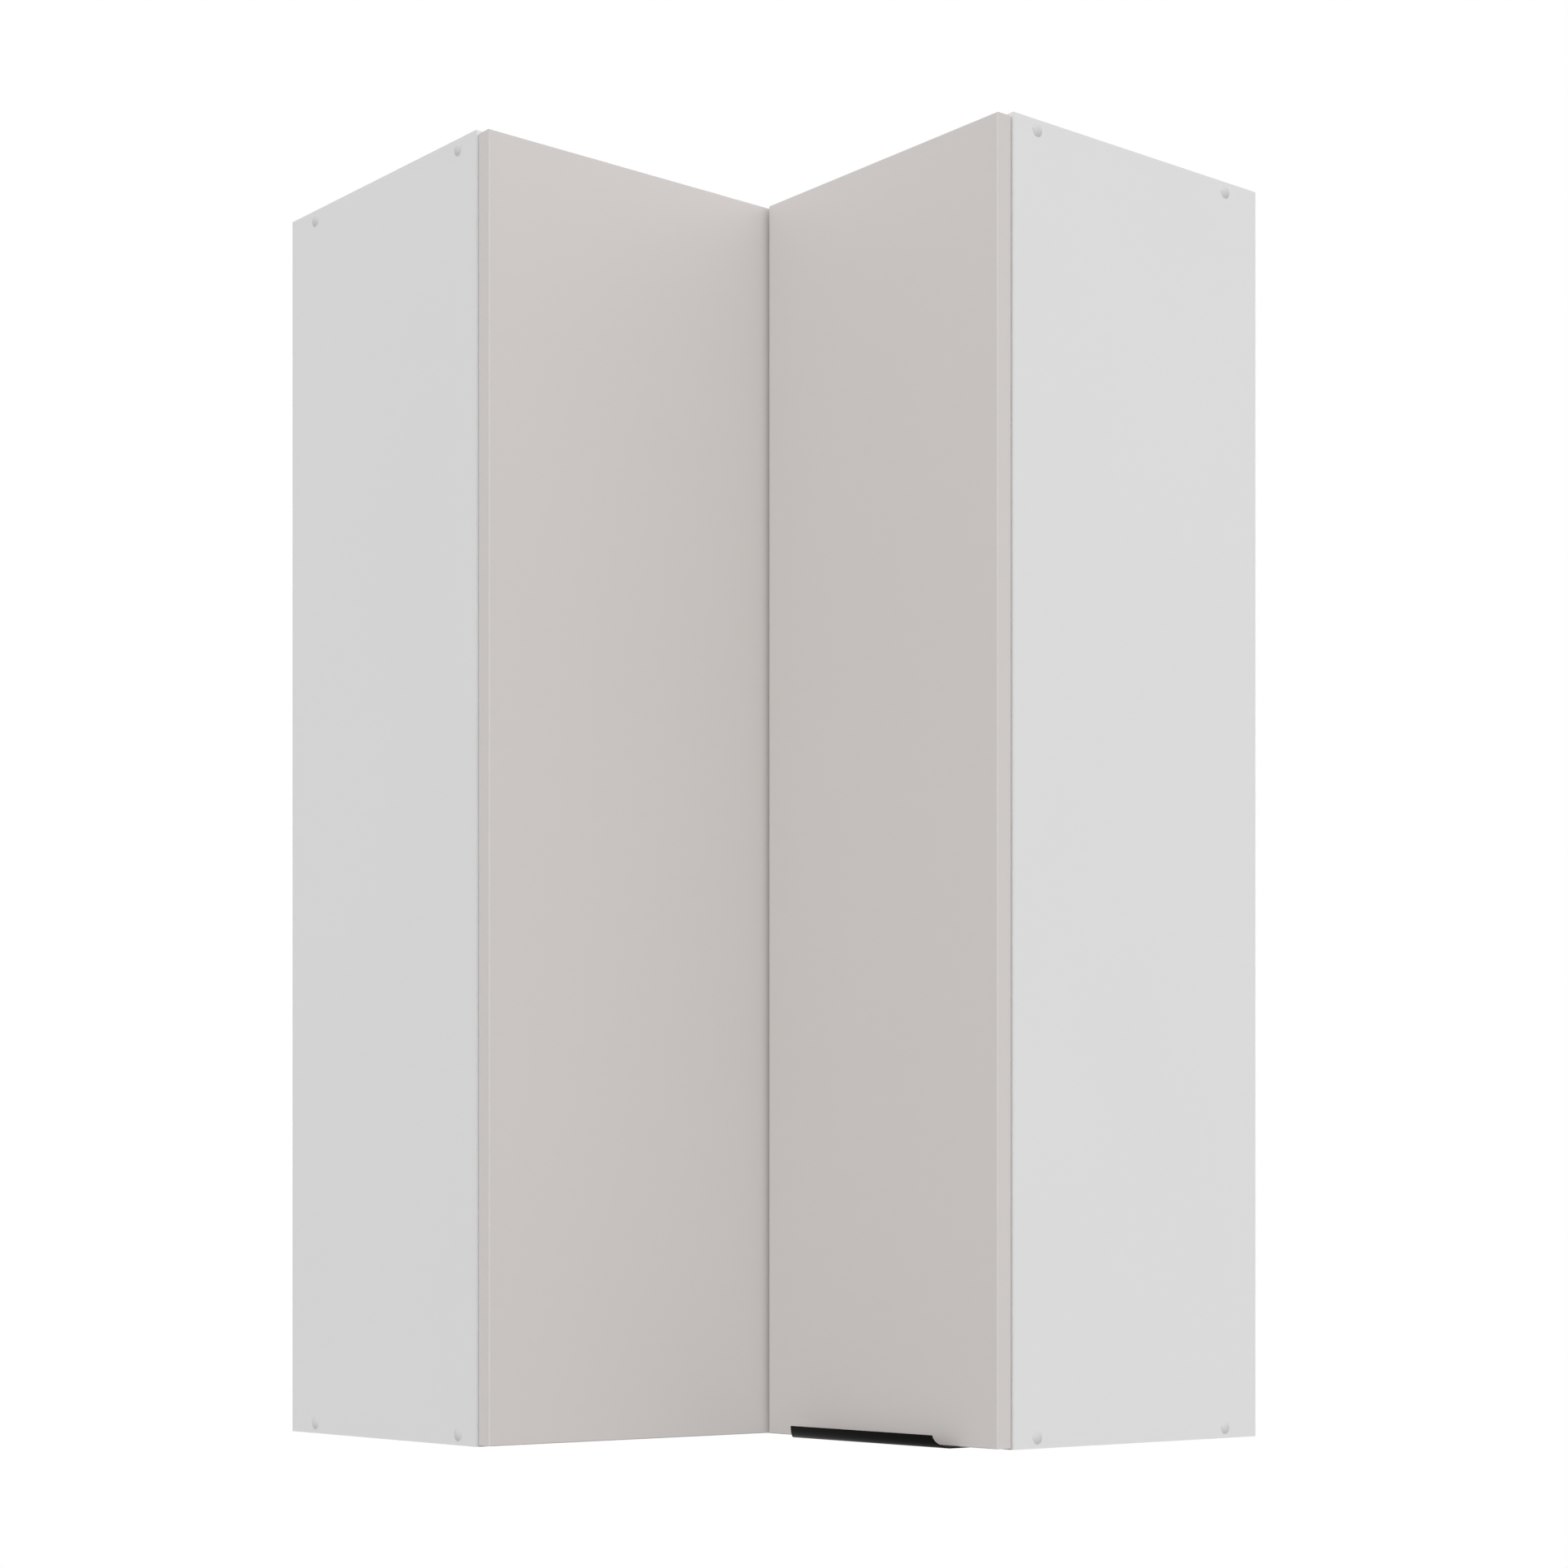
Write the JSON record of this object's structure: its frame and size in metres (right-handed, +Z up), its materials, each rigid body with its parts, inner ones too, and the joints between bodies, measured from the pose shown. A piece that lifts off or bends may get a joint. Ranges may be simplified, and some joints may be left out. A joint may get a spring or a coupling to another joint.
{
  "type": "corner wall cabinet",
  "caption": "L-shaped corner wall cabinet with white carcass, loose shelves, a pair of folding grey doors on concealed hinges and a black edge handle.",
  "frame": {"origin": "under the middle of the whole plan, in the plane of the carcass's underside", "axes": "+Z up; +Y towards the left wing's wall, which the left door faces away from; +X towards the right wing's wall"},
  "size_m": [0.6202, 0.6202, 1.11],
  "materials": {
    "white_board": "matt white melamine-faced chipboard",
    "door_front": "matt warm grey coated board with matching edge banding",
    "black_handle": "satin black powder coat",
    "cap_plastic": "white moulded plastic",
    "hardboard": "white-faced hardboard",
    "raw_board": "raw chipboard",
    "housing_plastic": "moulded plastic",
    "cover_plastic": "white moulded plastic",
    "zinc_steel": "zinc-plated steel",
    "hinge_steel": "nickel-plated pressed steel",
    "clear_bumper": "clear soft pad"
  },
  "bodies": {
    "carcass": {"bottom_panel": "white_board", "carcass_screws": "zinc_steel", "door_bumpers": "clear_bumper", "left_back": "hardboard", "left_hanger_cover": "cover_plastic", "left_hanger_hook": "zinc_steel", "left_hanger_housing": "housing_plastic", "left_screw_caps": "cap_plastic", "left_side": "white_board", "left_stile": "raw_board", "lower_shelf": "white_board", "middle_shelf": "white_board", "right_back": "hardboard", "right_hanger_cover": "cover_plastic", "right_hanger_hook": "zinc_steel", "right_hanger_housing": "housing_plastic", "right_screw_caps": "cap_plastic", "right_side": "white_board", "right_stile": "raw_board", "shelf_pins": "zinc_steel", "side_hinge_low_arm": "hinge_steel", "side_hinge_low_plate": "hinge_steel", "side_hinge_middle_arm": "hinge_steel", "side_hinge_middle_plate": "hinge_steel", "side_hinge_top_arm": "hinge_steel", "side_hinge_top_plate": "hinge_steel", "side_plate_screws": "zinc_steel", "top_panel": "white_board", "upper_shelf": "white_board"},
    "left_door": {"corner_hinge_low_arm": "hinge_steel", "corner_hinge_low_plate": "hinge_steel", "corner_hinge_middle_arm": "hinge_steel", "corner_hinge_middle_plate": "hinge_steel", "corner_hinge_top_arm": "hinge_steel", "corner_hinge_top_plate": "hinge_steel", "left_door": "door_front", "left_door_screws": "zinc_steel", "side_hinge_low_cup": "hinge_steel", "side_hinge_middle_cup": "hinge_steel", "side_hinge_top_cup": "hinge_steel"},
    "right_door": {"corner_hinge_low_cup": "hinge_steel", "corner_hinge_middle_cup": "hinge_steel", "corner_hinge_top_cup": "hinge_steel", "edge_handle": "black_handle", "handle_screws": "zinc_steel", "right_door": "door_front", "right_door_screws": "zinc_steel"},
    "side_rear_link": {"side_hinge_low_rear_link": "hinge_steel", "side_hinge_middle_rear_link": "hinge_steel", "side_hinge_top_rear_link": "hinge_steel"},
    "side_front_link": {"side_hinge_low_front_link": "hinge_steel", "side_hinge_middle_front_link": "hinge_steel", "side_hinge_top_front_link": "hinge_steel"},
    "corner_rear_link": {"corner_hinge_low_rear_link": "hinge_steel", "corner_hinge_middle_rear_link": "hinge_steel", "corner_hinge_top_rear_link": "hinge_steel"},
    "corner_front_link": {"corner_hinge_low_front_link": "hinge_steel", "corner_hinge_middle_front_link": "hinge_steel", "corner_hinge_top_front_link": "hinge_steel"}
  },
  "joints": [
    {"name": "left_door_swing", "type": "hinge", "parent": "carcass", "child": "left_door", "pos_m": [-0.3074, -0.0067, 0.555], "axis": [0, 0, -1], "range_deg": [0, 110]},
    {"name": "right_door_fold", "type": "hinge", "parent": "left_door", "child": "right_door", "pos_m": [-0.0067, -0.011, 0.555], "axis": [0, 0, -1], "range_deg": [0, 45]},
    {"name": "side_rear_link_turn", "type": "hinge", "parent": "carcass", "child": "side_rear_link", "pos_m": [-0.27824, 0.01608, 0.555], "axis": [0, 0, -1], "range_deg": [0, 110]},
    {"name": "side_front_link_turn", "type": "hinge", "parent": "left_door", "child": "side_front_link", "pos_m": [-0.2849, 0.0031, 0.555], "axis": [0, 0, -1], "range_deg": [-110, 0]},
    {"name": "corner_rear_link_turn", "type": "hinge", "parent": "left_door", "child": "corner_rear_link", "pos_m": [0.01608, -0.04016, 0.555], "axis": [0, 0, -1], "range_deg": [0, 45]},
    {"name": "corner_front_link_turn", "type": "hinge", "parent": "right_door", "child": "corner_front_link", "pos_m": [0.0031, -0.0335, 0.555], "axis": [0, 0, -1], "range_deg": [-45, 0]}
  ],
  "couplings": [
    {"joint": "side_rear_link_turn", "follows": "left_door_swing", "ratio": 1},
    {"joint": "side_front_link_turn", "follows": "left_door_swing", "ratio": -1},
    {"joint": "corner_rear_link_turn", "follows": "right_door_fold", "ratio": 1},
    {"joint": "corner_front_link_turn", "follows": "right_door_fold", "ratio": -1}
  ]
}
